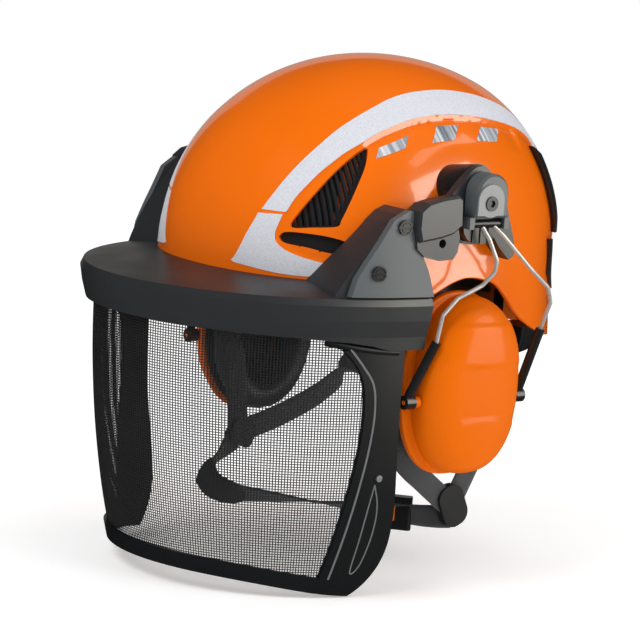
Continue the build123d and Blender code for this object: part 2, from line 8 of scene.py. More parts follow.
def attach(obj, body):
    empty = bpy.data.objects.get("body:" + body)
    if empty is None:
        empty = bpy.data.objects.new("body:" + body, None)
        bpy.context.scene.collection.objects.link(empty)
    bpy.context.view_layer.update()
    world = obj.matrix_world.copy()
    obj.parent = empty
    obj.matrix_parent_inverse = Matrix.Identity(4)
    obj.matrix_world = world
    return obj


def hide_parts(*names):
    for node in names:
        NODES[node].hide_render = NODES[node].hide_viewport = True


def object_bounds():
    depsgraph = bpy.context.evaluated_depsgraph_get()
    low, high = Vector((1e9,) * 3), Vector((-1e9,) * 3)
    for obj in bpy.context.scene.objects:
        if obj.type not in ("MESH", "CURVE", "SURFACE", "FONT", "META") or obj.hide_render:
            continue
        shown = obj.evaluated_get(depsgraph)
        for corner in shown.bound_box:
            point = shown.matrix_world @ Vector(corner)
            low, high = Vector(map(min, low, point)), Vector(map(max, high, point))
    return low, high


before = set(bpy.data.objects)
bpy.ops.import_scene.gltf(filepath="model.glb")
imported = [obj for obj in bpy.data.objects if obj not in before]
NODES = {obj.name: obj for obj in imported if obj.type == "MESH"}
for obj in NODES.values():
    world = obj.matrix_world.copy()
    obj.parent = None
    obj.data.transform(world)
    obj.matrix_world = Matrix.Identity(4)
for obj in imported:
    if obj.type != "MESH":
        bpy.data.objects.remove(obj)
cad_low, cad_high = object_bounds()
scene = bpy.context.scene
MM = 0.001
AMBIENT, AMBIENT_GLOSS = 0.5, 0.015
WARM = (1.0, 0.96, 0.86)

# ---------------------------------------------------------------- camera, floor, light


def add_camera():
    """The helmet is seen from its left front, a little from above, tipped back by a few degrees."""
    azimuth, elevation, nod = math.radians(52.5), math.radians(11.5), math.radians(5.5)
    distance, aim_left, aim_down = 1.85, math.radians(0.518), math.radians(1.094)
    back = Vector((math.sin(azimuth) * math.cos(elevation), -math.cos(azimuth) * math.cos(elevation),
                   math.sin(elevation)))
    right = Vector((math.cos(azimuth), math.sin(azimuth), 0))
    up = back.cross(right)
    tip = Matrix.Rotation(nod, 3, "X")
    back, right, up = tip @ back, tip @ right, tip @ up
    place = back * distance
    look = (-back - right * math.tan(aim_left) - up * math.tan(aim_down)).normalized()
    z = -look
    y = (up - z * up.dot(z)).normalized()
    x = y.cross(z)
    data = bpy.data.cameras.new("camera")
    data.lens, data.sensor_width = 167.8, 36
    data.clip_start, data.clip_end = 0.05, 50
    cam = bpy.data.objects.new("camera", data)
    scene.collection.objects.link(cam)
    m = Matrix((x, y, z)).transposed().to_4x4()
    m.translation = place
    cam.matrix_world = m
    scene.camera = cam


def add_area(name, place, target, size, size_y, power, lights=True, mirrored=False, tint=(1, 1, 1)):
    """A softbox that lights the scene, or is mirrored in it, or both."""
    data = bpy.data.lights.new(name, "AREA")
    data.shape, data.size, data.size_y = "RECTANGLE", size, size_y
    data.energy, data.color = power, tint
    lamp = bpy.data.objects.new(name, data)
    lamp.location = place
    lamp.rotation_mode = "QUATERNION"
    lamp.rotation_quaternion = (Vector(target) - Vector(place)).to_track_quat("-Z", "Y")
    lamp.visible_camera = False
    lamp.visible_diffuse, lamp.visible_glossy = lights, mirrored
    scene.collection.objects.link(lamp)
    return lamp


def place_at(azimuth, elevation, distance):
    """A place round the helmet: azimuth 0 is ahead of it and 90 is on its left."""
    a, e = math.radians(azimuth), math.radians(elevation)
    flat = distance * math.cos(e)
    return (flat * math.sin(a), -flat * math.cos(a), distance * math.sin(e))


def add_world():
    """A white backdrop for the camera, soft even light, and a dark studio in the reflections."""
    world = bpy.data.worlds.new("studio")
    world.use_nodes = True
    nt = world.node_tree
    path = nt.nodes.new("ShaderNodeLightPath")
    soft = node(nt, "ShaderNodeMapRange", To_Min=AMBIENT, To_Max=AMBIENT_GLOSS)
    seen = node(nt, "ShaderNodeMix")
    seen.inputs["B"].default_value = 1.0
    link(nt, (path, "Is Glossy Ray"), soft, "Value")
    link(nt, (path, "Is Camera Ray"), seen, "Factor")
    link(nt, (soft, "Result"), seen, "A")
    back = nt.nodes["Background"]
    back.inputs["Color"].default_value = (1, 1, 1, 1)
    link(nt, (seen, "Result"), back, "Strength")
    scene.world = world


def add_floor():
    bpy.ops.mesh.primitive_plane_add(size=2.9, location=(0, 0, cad_low[2] - 0.0008))
    floor = bpy.context.object
    floor.name = "floor"
    m, bsdf, nt = new_material("floor_paper", (0.93, 0.93, 0.93), 0.75)
    noise = node(nt, "ShaderNodeTexNoise", Scale=30.0, Detail=2.0)
    ramp = ramp_node(nt, [(0.3, (0.915, 0.915, 0.915)), (0.7, (0.94, 0.94, 0.94))])
    link(nt, coords(nt), noise, "Vector")
    link(nt, (noise, "Fac"), ramp, "Fac")
    link(nt, (ramp, "Color"), bsdf, "Base Color")
    bsdf.inputs["Emission Color"].default_value = (1, 1, 1, 1)
    bsdf.inputs["Emission Strength"].default_value = 0.32
    floor.data.materials.append(m)
    floor.visible_glossy = False


# ---------------------------------------------------------------- materials


def node(nt, kind, **values):
    n = nt.nodes.new(kind)
    for key, value in values.items():
        key = key.replace("_", " ")
        if key in n.inputs:
            n.inputs[key].default_value = value
        else:
            setattr(n, key.replace(" ", "_"), value)
    return n


def link(nt, source, target, socket):
    n, out = source if isinstance(source, tuple) else (source, 0)
    nt.links.new(n.outputs[out], target.inputs[socket])


def coords(nt, kind="Object"):
    return (nt.nodes.new("ShaderNodeTexCoord"), kind)


def ramp_node(nt, stops):
    n = nt.nodes.new("ShaderNodeValToRGB")
    e = n.color_ramp.elements
    while len(e) < len(stops):
        e.new(0.5)
    for item, (place, colour) in zip(e, stops):
        item.position = place
        item.color = (*colour, 1) if len(colour) == 3 else colour
    return n


def new_material(name, colour, rough, metal=0.0, coat=0.0, coat_rough=0.04, sheen=0.0, spec=0.5):
    m = bpy.data.materials.new(name)
    m.use_nodes = True
    nt = m.node_tree
    bsdf = nt.nodes["Principled BSDF"]
    bsdf.inputs["Base Color"].default_value = (*colour, 1)
    bsdf.inputs["Roughness"].default_value = rough
    bsdf.inputs["Metallic"].default_value = metal
    bsdf.inputs["Coat Weight"].default_value = coat
    bsdf.inputs["Coat Roughness"].default_value = coat_rough
    bsdf.inputs["Sheen Weight"].default_value = sheen
    bsdf.inputs["Specular IOR Level"].default_value = spec
    return m, bsdf, nt


def mottle(nt, bsdf, dark, light, scale, detail=3.0):
    """A slow drift of colour over the surface."""
    noise = node(nt, "ShaderNodeTexNoise", Scale=scale, Detail=detail)
    ramp = ramp_node(nt, [(0.3, dark), (0.7, light)])
    link(nt, coords(nt), noise, "Vector")
    link(nt, (noise, "Fac"), ramp, "Fac")
    link(nt, (ramp, "Color"), bsdf, "Base Color")


def rough_drift(nt, bsdf, low, high, scale):
    noise = node(nt, "ShaderNodeTexNoise", Scale=scale, Detail=4.0)
    span = node(nt, "ShaderNodeMapRange", To_Min=low, To_Max=high, From_Min=0.3, From_Max=0.7)
    link(nt, coords(nt), noise, "Vector")
    link(nt, (noise, "Fac"), span, "Value")
    link(nt, (span, "Result"), bsdf, "Roughness")


def grain(nt, bsdf, scale, strength, depth=0.00005, detail=2.0):
    """The fine texture of a moulded surface."""
    noise = node(nt, "ShaderNodeTexNoise", Scale=scale, Detail=detail)
    bump = node(nt, "ShaderNodeBump", Strength=strength, Distance=depth)
    link(nt, coords(nt), noise, "Vector")
    link(nt, (noise, "Fac"), bump, "Height")
    link(nt, (bump, "Normal"), bsdf, "Normal")


def moulded(name, colour, rough, spread=0.12, grain_scale=1400.0, grain_strength=0.25, **more):
    m, bsdf, nt = new_material(name, colour, rough, **more)
    dark = tuple(c * (1 - spread) for c in colour)
    light = tuple(min(1.0, c * (1 + spread)) for c in colour)
    mottle(nt, bsdf, dark, light, 9.0)
    rough_drift(nt, bsdf, rough * 0.88, min(1.0, rough * 1.15), 22.0)
    grain(nt, bsdf, grain_scale, grain_strength)
    return m


def weave_material(name, colour, pitch_u, pitch_v, rough=0.8, sheen=0.3):
    """Woven webbing: ribs across and along the band, from its own UV in millimetres."""
    m, bsdf, nt = new_material(name, colour, rough, sheen=sheen)
    uv = coords(nt, "UV")
    across = node(nt, "ShaderNodeTexWave", Scale=1.0 / pitch_u, Distortion=0.4, Detail=1.0)
    across.bands_direction = "X"
    along = node(nt, "ShaderNodeTexWave", Scale=1.0 / pitch_v, Distortion=0.4, Detail=1.0)
    along.bands_direction = "Y"
    link(nt, uv, across, "Vector")
    link(nt, uv, along, "Vector")
    mix = node(nt, "ShaderNodeMath", operation="MULTIPLY")
    nt.links.new(across.outputs["Fac"], mix.inputs[0])
    nt.links.new(along.outputs["Fac"], mix.inputs[1])
    bump = node(nt, "ShaderNodeBump", Strength=0.8, Distance=0.0003)
    nt.links.new(mix.outputs[0], bump.inputs["Height"])
    nt.links.new(bump.outputs["Normal"], bsdf.inputs["Normal"])
    dark = tuple(c * 0.55 for c in colour)
    ramp = ramp_node(nt, [(0.05, dark), (0.6, colour)])
    nt.links.new(mix.outputs[0], ramp.inputs["Fac"])
    nt.links.new(ramp.outputs["Color"], bsdf.inputs["Base Color"])
    return m


def brushed(name, colour, rough, metal=1.0):
    m, bsdf, nt = new_material(name, colour, rough, metal=metal)
    mottle(nt, bsdf, tuple(c * 0.8 for c in colour), colour, 60.0)
    rough_drift(nt, bsdf, rough * 0.7, rough * 1.3, 160.0)
    grain(nt, bsdf, 900.0, 0.15)
    return m


def fabric_knit(name, colour, scale, sheen=0.4):
    m, bsdf, nt = new_material(name, colour, 0.9, sheen=sheen)
    cells = node(nt, "ShaderNodeTexVoronoi", Scale=scale)
    link(nt, coords(nt), cells, "Vector")
    bump = node(nt, "ShaderNodeBump", Strength=0.7, Distance=0.0004)
    link(nt, (cells, "Distance"), bump, "Height")
    link(nt, (bump, "Normal"), bsdf, "Normal")
    ramp = ramp_node(nt, [(0.0, tuple(c * 0.6 for c in colour)), (0.5, colour)])
    link(nt, (cells, "Distance"), ramp, "Fac")
    link(nt, (ramp, "Color"), bsdf, "Base Color")
    return m


def soft_vinyl(name, colour):
    m, bsdf, nt = new_material(name, colour, 0.5, sheen=0.1)
    mottle(nt, bsdf, tuple(c * 0.8 for c in colour), tuple(c * 1.25 for c in colour), 30.0)
    folds = node(nt, "ShaderNodeTexNoise", Scale=120.0, Detail=5.0, Roughness=0.6)
    link(nt, coords(nt), folds, "Vector")
    bump = node(nt, "ShaderNodeBump", Strength=0.35, Distance=0.0006)
    link(nt, (folds, "Fac"), bump, "Height")
    link(nt, (bump, "Normal"), bsdf, "Normal")
    rough_drift(nt, bsdf, 0.42, 0.62, 50.0)
    return m


def silver_film(name):
    """Reflective silver with fine slanting streaks."""
    m, bsdf, nt = new_material(name, (0.5, 0.52, 0.55), 0.3, metal=0.2)
    map_ = node(nt, "ShaderNodeMapping")
    map_.inputs["Rotation"].default_value = (math.radians(24), 0, 0)
    map_.inputs["Scale"].default_value = (1, 330, 14)
    noise = node(nt, "ShaderNodeTexNoise", Scale=1.0, Detail=2.0)
    ramp = ramp_node(nt, [(0.30, (0.16, 0.18, 0.21)), (0.48, (0.42, 0.45, 0.5)), (0.62, (0.85, 0.87, 0.9))])
    link(nt, coords(nt), map_, "Vector")
    link(nt, (map_, "Vector"), noise, "Vector")
    link(nt, (noise, "Fac"), ramp, "Fac")
    link(nt, (ramp, "Color"), bsdf, "Base Color")
    rough_drift(nt, bsdf, 0.2, 0.4, 90.0)
    return m


def reflective(name):
    """Light grey reflective film with a fine cell pattern."""
    m, bsdf, nt = new_material(name, (0.62, 0.63, 0.68), 0.5, spec=0.2)
    cells = node(nt, "ShaderNodeTexVoronoi", Scale=900.0)
    link(nt, coords(nt), cells, "Vector")
    ramp = ramp_node(nt, [(0.0, (0.54, 0.555, 0.61)), (0.6, (0.68, 0.69, 0.74))])
    link(nt, (cells, "Distance"), ramp, "Fac")
    link(nt, (ramp, "Color"), bsdf, "Base Color")
    bump = node(nt, "ShaderNodeBump", Strength=0.15, Distance=0.0001)
    link(nt, (cells, "Distance"), bump, "Height")
    link(nt, (bump, "Normal"), bsdf, "Normal")
    rough_drift(nt, bsdf, 0.38, 0.5, 40.0)
    return m


M = {
    "shell": moulded("shell_orange", (0.91, 0.16, 0.0), 0.22, 0.03, 700.0, 0.02, coat=0.7, coat_rough=0.05,
                     spec=0.35),
    # The cup's orange is the shell's orange darkened as painted shade, because the window lamp lights the
    # cup full on.
    "cup": moulded("cup_orange", (0.78, 0.14, 0.0), 0.4, 0.04, 900.0, 0.04, coat=0.12, coat_rough=0.1,
                   spec=0.06),
    "guard": moulded("guard_black", (0.026, 0.028, 0.031), 0.4, 0.12, 1500.0, 0.25, spec=0.6),
    "grey": moulded("grey_plastic", (0.085, 0.097, 0.103), 0.44, 0.08, 1500.0, 0.25),
    "light_grey": moulded("light_grey_plastic", (0.2, 0.21, 0.215), 0.38, 0.06, 1500.0, 0.2),
    "black": moulded("black_plastic", (0.012, 0.013, 0.014), 0.3, 0.2, 1300.0, 0.2),
    "visor_black": moulded("visor_black", (0.009, 0.01, 0.011), 0.36, 0.15, 1400.0, 0.2, spec=0.25),
    "screw": moulded("screw_black", (0.02, 0.02, 0.022), 0.32, 0.2, 800.0, 0.15, metal=0.4),
    "rivet": brushed("rivet_steel", (0.3, 0.3, 0.3), 0.3, 0.5),
    "wire": brushed("wire_steel", (0.62, 0.61, 0.58), 0.34, 0.45),
    "film": reflective("reflective_film"),
    "silver": silver_film("silver_film"),
    "net": moulded("visor_net", (0.03, 0.031, 0.033), 0.6, 0.1, 1200.0, 0.1, spec=0.3),
    "vent": moulded("vent_net", (0.012, 0.015, 0.017), 0.5, 0.2, 800.0, 0.5),
    "web": weave_material("webbing", (0.055, 0.061, 0.067), 1.5, 1.1),
    "pad": fabric_knit("pad_fabric", (0.045, 0.046, 0.05), 900.0),
    "foam": fabric_knit("foam_grey", (0.06, 0.06, 0.062), 500.0, 0.1),
    "vinyl": soft_vinyl("cushion_vinyl", (0.035, 0.036, 0.039)),
    "rubber": moulded("chin_rubber", (0.025, 0.026, 0.028), 0.6, 0.15, 600.0, 0.4),
    "button": moulded("button_orange", (0.8, 0.16, 0.01), 0.35, 0.05, 900.0, 0.1),
    # The bead's light grey is a painted highlight: it stands in for the light line that dark glossy piping
    # shows only by reflection.
    "bead": moulded("visor_bead_painted_highlight", (0.16, 0.165, 0.17), 0.3, 0.1, 900.0, 0.1),
}

LOOKS = {
    "shell": "shell", "ear_cup": "cup", "brow_guard": "guard", "visor_arm": "guard", "end_plate": "grey",
    "wire_boss": "grey", "boss_plate": "light_grey", "mount_base": "black", "plate_screws": "screw",
    "boss_screws": "screw", "visor_rivets": "rivet", "muff_wire": "wire", "wire_sleeve": "black",
    "reflective_stripe": "film", "silver_marks": "silver", "rear_clips": "black", "vent_grille": "vent",
    "visor_mesh": "net", "visor_hem": "visor_black", "visor_panel": "visor_black", "cup_plate": "black",
    "ear_cushion": "vinyl", "ear_foam": "foam", "headband": "black", "brow_pad": "pad",
    "crown_cradle": "web", "suspension_lugs": "black", "ratchet_housing": "black", "ratchet_knob": "black",
    "strap_anchors": "black", "strap_left": "web", "strap_right": "web", "strap_divider": "black",
    "chin_web": "web", "chin_pad": "rubber", "buckle_button": "button", "buckle": "black",
}


def look_of(name):
    return LOOKS.get(name) or LOOKS[name.rsplit("_", 1)[0]]


def dress_nodes():
    """Every CAD node gets its material."""
    for name, o in NODES.items():
        o.data.materials.clear()
        o.data.materials.append(M[look_of(name)])


HUB_X, HUB_Z, HUB_R = 124.5, 43.2, 2.4


def darken_hubs():
    """The hub that the wires end in is black, and the wires are bare steel."""
    for side, sign in (("left", 1), ("right", -1)):
        o = NODES[f"muff_wire_{side}"]
        o.data.materials.append(M["screw"])
        for face in o.data.polygons:
            away = [o.matrix_world @ o.data.vertices[i].co for i in face.vertices]
            radii = [math.hypot(p.x * sign / MM - HUB_X, p.z / MM - HUB_Z) for p in away]
            if max(radii) < HUB_R + 0.05:
                face.material_index = 1


def soften(o, width, angle=35.0, segments=2):
    """Rounds a CAD node's edges a little."""
    o.data.shade_smooth()
    o.data.set_sharp_from_angle(angle=math.radians(angle))
    b = o.modifiers.new("edges", "BEVEL")
    b.width, b.segments, b.limit_method, b.angle_limit = width, segments, "ANGLE", math.radians(angle)
    b.harden_normals = True
    b.use_clamp_overlap = True


# ---------------------------------------------------------------- small tools for meshes


def make_object(name, verts, faces, material, body, replaces=(), sharp=38.0):
    """A piece from points in metres, which rides on a body and may stand for CAD nodes."""
    mesh = bpy.data.meshes.new(name)
    mesh.from_pydata([tuple(float(c) for c in v) for v in verts], [], faces)
    mesh.validate()
    mesh.update()
    o = bpy.data.objects.new(name, mesh)
    scene.collection.objects.link(o)
    mesh.materials.append(M[material])
    mesh.shade_smooth()
    mesh.set_sharp_from_angle(angle=math.radians(sharp))
    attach(o, body)
    if replaces:
        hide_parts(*replaces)
    return o


def mirror_copy(o, name, body, replaces=()):
    """The same piece on the helmet's right side."""
    mesh = o.data.copy()
    mesh.transform(Matrix.Scale(-1, 4, (1, 0, 0)))
    mesh.flip_normals()
    twin = bpy.data.objects.new(name, mesh)
    scene.collection.objects.link(twin)
    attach(twin, body)
    if replaces:
        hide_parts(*replaces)
    return twin


def smooth_line(points, count, closed=False):
    """Points evenly along a Catmull-Rom curve through the given points."""
    p = np.array(points, float)
    if closed:
        p = np.vstack([p[-1], p, p[0], p[1]])
    else:
        p = np.vstack([2 * p[0] - p[1], p, 2 * p[-1] - p[-2]])
    fine = []
    for i in range(1, len(p) - 2):
        for t in np.linspace(0, 1, 16, endpoint=False):
            a, b, c, d = p[i - 1], p[i], p[i + 1], p[i + 2]
            fine.append(0.5 * (2 * b + (c - a) * t + (2 * a - 5 * b + 4 * c - d) * t**2
                               + (3 * b - a - 3 * c + d) * t**3))
    fine.append(p[-2])
    fine = np.array(fine)
    run = np.concatenate([[0], np.cumsum(np.linalg.norm(np.diff(fine, axis=0), axis=1))])
    at = np.linspace(0, run[-1], count, endpoint=not closed)
    return np.stack([np.interp(at, run, fine[:, k]) for k in range(fine.shape[1])], 1)


def smoothstep(x, low, high):
    t = np.clip((x - low) / (high - low), 0, 1)
    return t * t * (3 - 2 * t)


def grid_faces(rows, cols, offset=0, wrap=False):
    faces = []
    for i in range(rows - 1):
        for j in range(cols if wrap else cols - 1):
            k = (j + 1) % cols
            a, b = offset + i * cols + j, offset + i * cols + k
            faces.append((a, b, b + cols, a + cols))
    return faces


# ---------------------------------------------------------------- shell

W, F, R, H, SIDE_Z, LEAN, POWER, SWELL = 107.0, 117.0, 132.5, 129.2, 15.0, 0.095, 2.15, 2.2
WALL = 3.0
RISE = 1.0  # the crown stands this proud of the side panels
FACET = 1.9  # the facet under the crown's edge leans in by this much
VENTS_BEYOND = 40.0  # the vents are further from the middle than this
RIM = [(-150, -9), (-100, -9), (-60, -8), (-35, -5), (-18.8, -1.5), (-12.6, 1.4), (-6.9, 4.2), (0.5, 7),
       (8.3, 8.2), (19.9, 6.9), (31.6, 3.3), (41.2, -4.6), (49.1, -12.5), (57.7, -19), (73.4, -26.6),
       (86.5, -31.5), (97, -34.5), (118, -38), (150, -40)]
ARCH_IN = [(-94.6, 42.1), (-90.5, 49.7), (-85.3, 56.8), (-78.1, 64.9), (-70.6, 71.6), (-62.7, 77.7),
           (-52.4, 83.8), (-41.2, 89.8), (-29.6, 94.3), (-17.3, 97.9), (-4.8, 99.9), (8.1, 100.7),
           (21.3, 100.3), (35.1, 99.1), (50, 96.7), (63.2, 93.8), (76, 89.7), (83.7, 85), (88, 78)]
FOOT_IN = [(-96, 40.6), (-98.5, 33.6), (-99.6, 29.7), (-99.6, 25), (-96.7, 20.8), (-91, 17.8), (-83.9, 15.8),
           (-80.2, 15.1)]
RECESS = [(-73, -70), (-77, 0), *FOOT_IN[::-1], *ARCH_IN, (94, 58), (99, 38), (102, 20), (103, -70)]
VENT = [(-50.3, 82), (-51.7, 78), (-55, 71.3), (-59.5, 63.8), (-63.4, 57), (-68, 48.4), (-72, 40.6),
        (-74.3, 36.7), (-85, 35), (-94, 34.2), (-90.2, 42.6), (-82.7, 53.4), (-73.4, 64.4), (-63.3, 73.8),
        (-54.8, 80)]
SLOT = [(-98.3, 29), (-95, 31.2), (-85, 31.2), (-76.5, 30), (-70.2, 27.5), (-73.5, 22.4), (-78, 21),
        (-88.3, 23.3), (-96, 24.4), (-98.3, 26.2)]


def spread_at(z):
    k = np.ones_like(z)
    up = z > SIDE_Z
    k[up] = np.sqrt(np.maximum(1 - ((z[up] - SIDE_Z) / (H - SIDE_Z)) ** SWELL, 1e-9))
    k[~up] = 1 + 0.03 * (SIDE_Z - z[~up]) / 70
    return k


def dome_points(theta, z):
    k = spread_at(z)
    c, s = np.cos(theta), np.sin(theta)
    x = W * k * np.sign(c) * np.abs(c) ** (2 / POWER)
    length = np.where(s > 0, R, F)
    y = length * k * np.sign(s) * np.abs(s) ** (2 / POWER) + LEAN * np.maximum(z - SIDE_Z, 0)
    return np.stack([x, y, z], -1)


def dome_value(p):
    z = np.minimum(p[..., 2], H - 0.02)
    k = spread_at(z)
    y = p[..., 1] - LEAN * np.maximum(p[..., 2] - SIDE_Z, 0)
    length = np.where(y > 0, R, F)
    return np.abs(p[..., 0] / (W * k)) ** POWER + np.abs(y / (length * k)) ** POWER - 1


def dome_normals(p):
    step = 0.05
    g = np.zeros_like(p)
    q = p.copy()
    q[..., 2] = np.minimum(q[..., 2], H - 0.4)
    for i in range(3):
        d = np.zeros(3)
        d[i] = step
        g[..., i] = dome_value(q + d) - dome_value(q - d)
    top = p[..., 2] > H - 1.2
    g[top] = g[top] / (np.linalg.norm(g[top], axis=-1, keepdims=True) + 1e-12) * 0.25 + np.array([0, 0, 1.0])
    return g / (np.linalg.norm(g, axis=-1, keepdims=True) + 1e-12)


def dome_side(y, z):
    """The point on the left of the dome at a place in the side view."""
    k = spread_at(z)
    yy = y - LEAN * np.maximum(z - SIDE_Z, 0)
    length = np.where(yy > 0, R, F)
    x = W * k * np.maximum(1 - np.abs(yy / (length * k)) ** POWER, 1e-6) ** (1 / POWER)
    return np.stack([x, y, z], -1)


def edge_distance(yz, polygon):
    """Distance from points to a closed polygon, negative inside, and the nearest points."""
    poly = np.array(polygon, float)
    best = np.full(len(yz), 1e9)
    near = np.zeros_like(yz)
    inside = np.zeros(len(yz), bool)
    for a, b in zip(poly, np.roll(poly, -1, axis=0)):
        ab = b - a
        t = np.clip(((yz - a) @ ab) / (ab @ ab), 0, 1)
        foot = a + t[:, None] * ab
        d = np.linalg.norm(yz - foot, axis=1)
        closer = d < best
        best[closer] = d[closer]
        near[closer] = foot[closer]
        cross = (a[1] > yz[:, 1]) != (b[1] > yz[:, 1])
        with np.errstate(divide="ignore", invalid="ignore"):
            xs = a[0] + (yz[:, 1] - a[1]) / (b[1] - a[1]) * ab[0]
        inside ^= cross & (yz[:, 0] < xs)
    return np.where(inside, -best, best), near


RECESS_LINE = smooth_line(RECESS, 500, closed=True)


def relief(p):
    """How far the shell's outside stands off the plain dome.

    The crown is proud of the side panels, and under its edge a facet leans in towards the top."""
    y, z = p[:, 1], p[:, 2]
    d, _ = edge_distance(p[:, 1:3], RECESS_LINE)
    proud = RISE * (1 - 0.9 * smoothstep(y, 70, 100)) * smoothstep(d, -1.2, 0.2)
    width = np.interp(y, [-52, -31, -13, 60, 72], [8.5, 12, 15, 15, 13])
    there = smoothstep(y, -53, -49) * (1 - smoothstep(y, 63, 69)) * smoothstep(z, 60, 70)
    lean = np.clip((d + width) / (width - 1.6), 0, 1) * (1 - smoothstep(d, -1.6, -0.3))
    return proud - FACET * lean * there


def surface(p, lift=0.0):
    """Points moved from the plain dome to the shell's real outside, plus a lift, in metres."""
    n = dome_normals(p)
    return (p + n * (relief(p) + lift)[:, None]) * MM, n


def make_shell():
    cols, low_rows, high_rows = 480, 22, 120
    theta = np.linspace(0, 2 * np.pi, cols, endpoint=False)
    rim = smooth_line(RIM, 600)
    around = dome_points(theta, np.full(cols, -5.0))
    rim_z = np.interp(around[:, 1], rim[:, 0], rim[:, 1])
    rows = []
    for t in np.linspace(0, 1, low_rows, endpoint=False):
        rows.append(dome_points(theta, rim_z + (SIDE_Z - rim_z) * t))
    for t in np.linspace(0, 1, high_rows, endpoint=False):
        level = SIDE_Z + (H - SIDE_Z) * math.sin(t * math.pi / 2) ** (2 / SWELL)
        rows.append(dome_points(theta, np.full(cols, level)))
    outer = np.concatenate(rows)
    outer_m, normals = surface(outer)
    tip = np.array([[0, LEAN * (H - SIDE_Z), H + RISE]]) * MM
    verts = np.vstack([outer_m, tip])
    faces = grid_faces(len(rows), cols, 0, wrap=True)
    top = (len(rows) - 1) * cols
    tip_i = len(outer)
    faces += [(top + j, top + (j + 1) % cols, tip_i) for j in range(cols)]

    # The vents: faces inside them go, and the ring of points left is drawn onto the outline.
    drop = np.zeros(len(verts), bool)
    inner_cut = []
    for region in (VENT, SLOT):
        line = smooth_line(region, 160, closed=True)
        d, near = edge_distance(outer[:, 1:3], line)
        side = np.abs(outer[:, 0]) > VENTS_BEYOND
        gone = (d < -0.9) & side
        drop[: len(outer)] |= gone
        inner_cut.append(line)
        edge = (np.abs(d) <= 0.9) & side & ~gone
        moved = dome_side(near[edge][:, 0], near[edge][:, 1])
        moved[:, 0] *= np.sign(outer[edge][:, 0])
        outer_m[edge], _ = surface(moved)
    verts[: len(outer)] = outer_m
    faces = [f for f in faces if not any(drop[i] for i in f)]

    # A wall round each hole and round the rim, then the inside.
    count = {}
    for f in faces:
        for a, b in zip(f, f[1:] + f[:1]):
            count[(a, b)] = 1
    open_edges = [(a, b) for a, b in count if (b, a) not in count]
    ring = sorted({i for e in open_edges for i in e})
    extra = {}
    new = []
    n_full = np.vstack([normals, [[0, 0, 1]]])
    steps = [(0.35, 0.35), (1.5, 0.5), (2.65, 0.35), (WALL, 0.0)]
    for depth, _ in steps:
        for i in ring:
            new.append(verts[i] - n_full[i] * depth * MM)
    for s in range(len(steps)):
        for k, i in enumerate(ring):
            extra[(s, i)] = len(verts) + s * len(ring) + k
    for k, i in enumerate(ring):
        if i < cols:
            for s, (_, out) in enumerate(steps):
                new[s * len(ring) + k] = new[s * len(ring) + k] - np.array([0, 0, out * MM * 1.2])
    verts = np.vstack([verts, new])
    for a, b in open_edges:
        last = (a, b)
        for s in range(len(steps)):
            nxt = (extra[(s, a)], extra[(s, b)])
            faces.append((last[1], last[0], nxt[0], nxt[1]))
            last = nxt
    base = len(verts)
    in_rows = []
    for t in np.linspace(0, 1, 6, endpoint=False):
        in_rows.append(dome_points(theta, rim_z + (SIDE_Z - rim_z) * t))
    for t in np.linspace(0, 1, 22, endpoint=False):
        level = SIDE_Z + (H - SIDE_Z) * math.sin(t * math.pi / 2) ** (2 / SWELL)
        in_rows.append(dome_points(theta, np.full(cols, level)))
    inner = np.concatenate(in_rows)
    inner_m = (inner - dome_normals(inner) * WALL) * MM
    tip_in = np.array([[0, LEAN * (H - SIDE_Z), H - WALL]]) * MM
    verts = np.vstack([verts, inner_m, tip_in])
    gone = np.zeros(len(inner) + 1, bool)
    for line in inner_cut:
        d, _ = edge_distance(inner[:, 1:3], line)
        gone[: len(inner)] |= (d < WALL) & (np.abs(inner[:, 0]) > VENTS_BEYOND)
    in_faces = grid_faces(len(in_rows), cols, 0, wrap=True)
    last = (len(in_rows) - 1) * cols
    in_faces += [(last + j, last + (j + 1) % cols, len(inner)) for j in range(cols)]
    for f in in_faces:
        if not any(gone[i] for i in f):
            faces.append(tuple(base + i for i in reversed(f)))
    make_object("shell_skin", verts, faces, "shell", "helmet", ["shell"], sharp=50)


def film_strip(one, two, across, along, lift=0.3):
    """A thin film on the shell's left side, between two side view lines."""
    a, b = smooth_line(one, along), smooth_line(two, along)
    t = np.linspace(0, 1, across)
    yz = a[None] * (1 - t[:, None, None]) + b[None] * t[:, None, None]
    yz = yz.reshape(-1, 2)
    p = dome_side(yz[:, 0], yz[:, 1])
    top, n = surface(p, lift)
    low = top - n * (lift + 0.5) * MM
    verts = np.vstack([top, low])
    faces = [tuple(reversed(f)) for f in grid_faces(across, along)]
    size = across * along
    faces += [tuple(size + i for i in reversed(f)) for f in faces]
    count = {}
    for f in faces[: (across - 1) * (along - 1)]:
        for i, j in zip(f, f[1:] + f[:1]):
            count[(i, j)] = 1
    for i, j in count:
        if (j, i) not in count:
            faces.append((j, i, i + size, j + size))
    return verts, faces


def join(parts):
    verts, faces = [], []
    base = 0
    for v, f in parts:
        verts.append(v)
        faces += [tuple(base + i for i in face) for face in f]
        base += len(v)
    return np.vstack(verts), faces


ARCH_OUT = [(-102.3, 42), (-98.5, 49.1), (-92, 59.3), (-83.9, 69.4), (-74.3, 78.9), (-62.6, 88.5),
            (-50.4, 96.1), (-37.5, 102.5), (-23.4, 108.1), (-9.1, 111.5), (6.9, 113.1), (20.3, 113.2),
            (33.9, 112), (48.1, 109.6), (64, 105), (78, 98.5), (88, 90.5), (94, 82)]
FOOT_OUT = [(-103.6, 39.8), (-108.2, 27.1), (-111.8, 13), (-112.3, 10), (-108.8, 8.7), (-99.1, 6.8),
            (-88, 6.6), (-84.2, 8.6)]
MARKS = [
    ([(-44, 82.5), (-23.3, 90.2)], [(-48.1, 76), (-29, 82.6)]),
    ([(-1.1, 95.8), (16.2, 96.5)], [(-9.9, 86), (7.4, 87.7)]),
    ([(34.6, 95.2), (52.2, 93.6)], [(24.7, 87), (43, 86.2)]),
]


